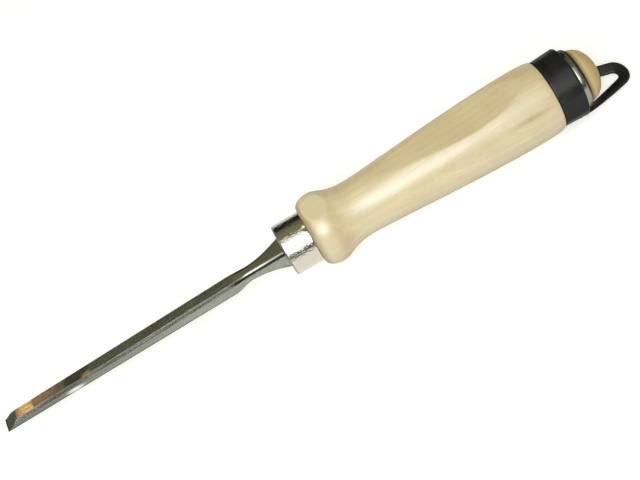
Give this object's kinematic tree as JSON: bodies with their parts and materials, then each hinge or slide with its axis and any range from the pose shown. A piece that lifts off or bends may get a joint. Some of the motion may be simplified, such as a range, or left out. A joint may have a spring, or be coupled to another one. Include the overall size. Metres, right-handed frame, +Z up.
{
  "type": "wood chisel",
  "caption": "Bevel-edge wood chisel: narrow ground blade, plated ferrule, turned wooden handle with a thumb flat, black hang collar and steel striking hoop.",
  "frame": {"origin": "middle of the tool's box on the surface it lies on", "axes": "+X from the cutting edge towards the butt, +Z up out of the thumb flat, the blade's flat back facing down, +Y to the right of someone who holds the handle with the blade pointing away and the thumb flat up"},
  "size_m": [0.2766, 0.0302, 0.0301],
  "materials": {
    "ground_steel": "ground and lightly oiled tool steel, straw tint near the edge",
    "nickel_plate": "bright nickel plate on drawn steel",
    "lacquered_beech": "pale close-grained wood under clear satin lacquer",
    "black_plastic": "satin black moulded plastic",
    "bright_steel": "bright turned steel ring"
  },
  "bodies": {
    "root": {"blade": "ground_steel", "ferrule": "nickel_plate", "handle": "lacquered_beech", "hang_collar": "black_plastic", "striking_hoop": "bright_steel"}
  },
  "joints": []
}
